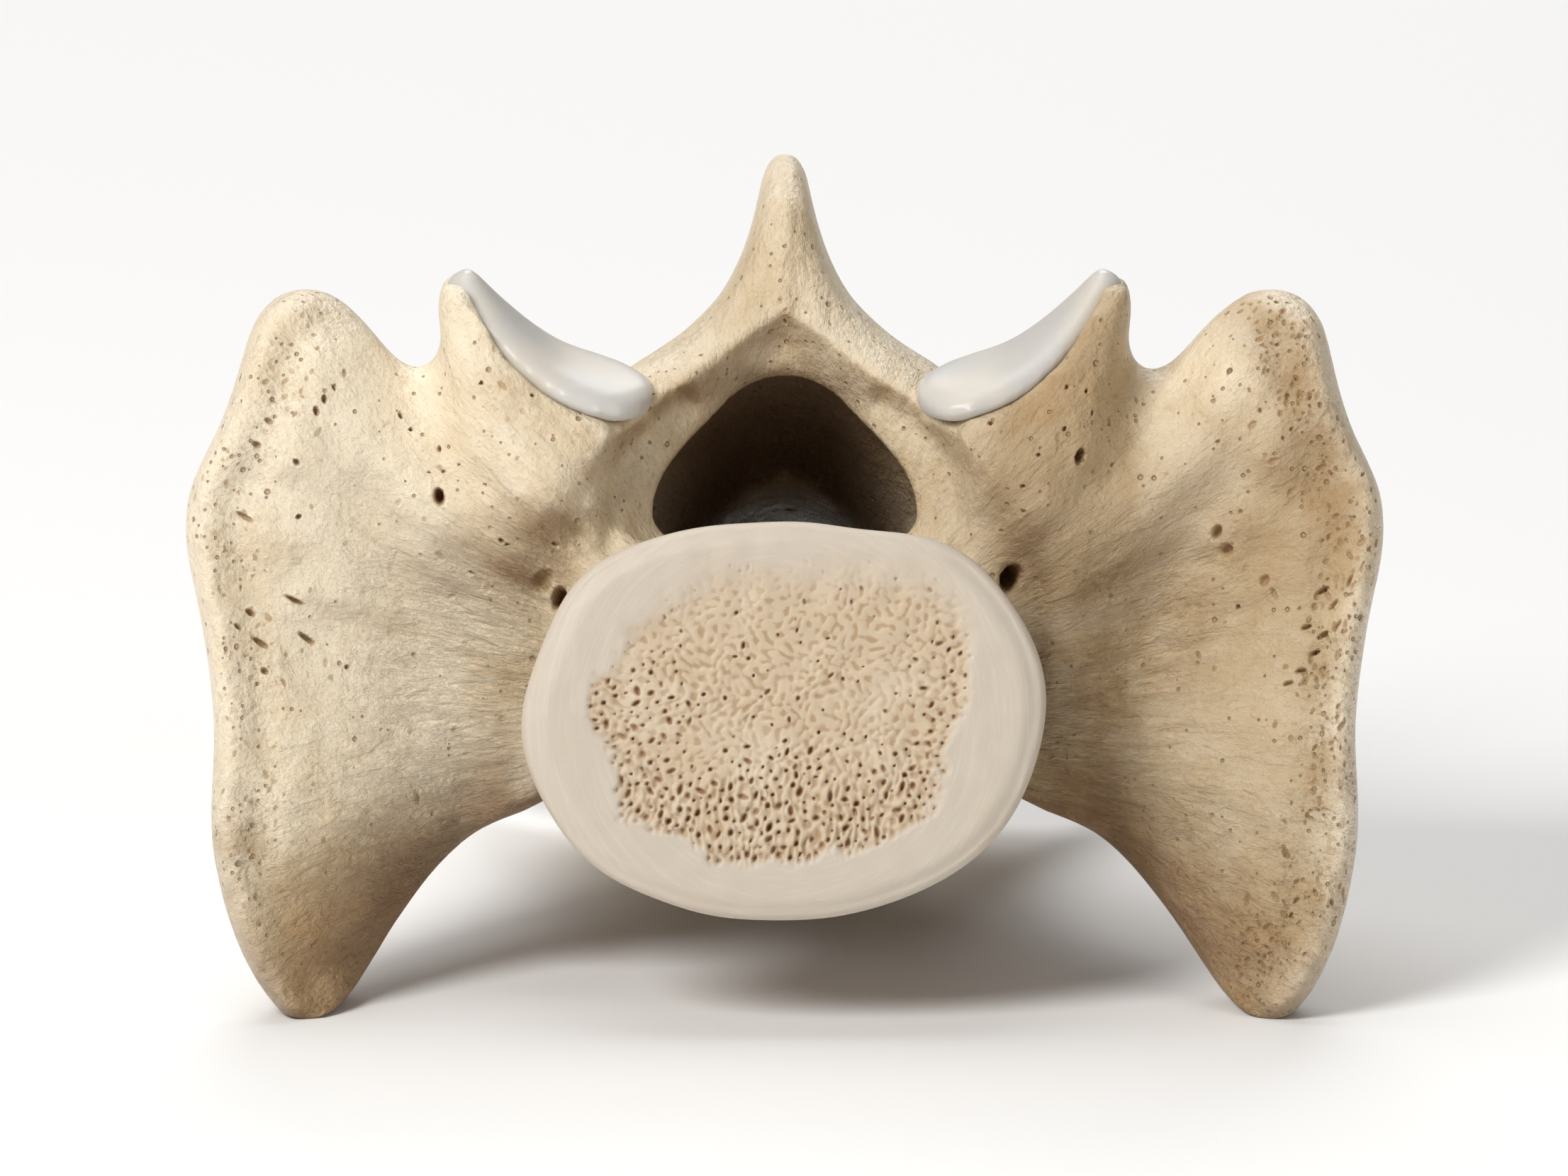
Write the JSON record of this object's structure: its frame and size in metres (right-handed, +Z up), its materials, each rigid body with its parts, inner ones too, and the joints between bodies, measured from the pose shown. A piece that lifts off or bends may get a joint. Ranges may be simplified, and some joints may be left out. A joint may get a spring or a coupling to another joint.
{
  "type": "dog sacrum",
  "caption": "Fused sacrum of a large dog with broad ear-shaped wings, an oval porous endplate, an arched vertebral canal, a median crest and cartilage-faced articular processes.",
  "frame": {"origin": "centre of the bounding box, at the level of the surface the bone rests on", "axes": "+X towards the animal's left, +Y towards the tail, +Z up, the dorsal side"},
  "size_m": [0.06, 0.0482, 0.0395],
  "materials": {
    "bone": "dry bone, matt with a faint sheen",
    "endplate": "porous bone with a smooth matt ring",
    "cartilage": "smooth glossy cartilage"
  },
  "bodies": {
    "root": {"body_s1": "bone", "body_s2": "bone", "body_s3": "bone", "arch_s1": "bone", "arch_s2": "bone", "arch_s3": "bone", "spine_s1": "bone", "spine_s2": "bone", "spine_s3": "bone", "wing_left": "bone", "wing_right": "bone", "lateral_crest_left": "bone", "lateral_crest_right": "bone", "cranial_process_left": "bone", "cranial_process_right": "bone", "facet_left": "cartilage", "facet_right": "cartilage", "endplate_cranial": "endplate"}
  },
  "joints": []
}
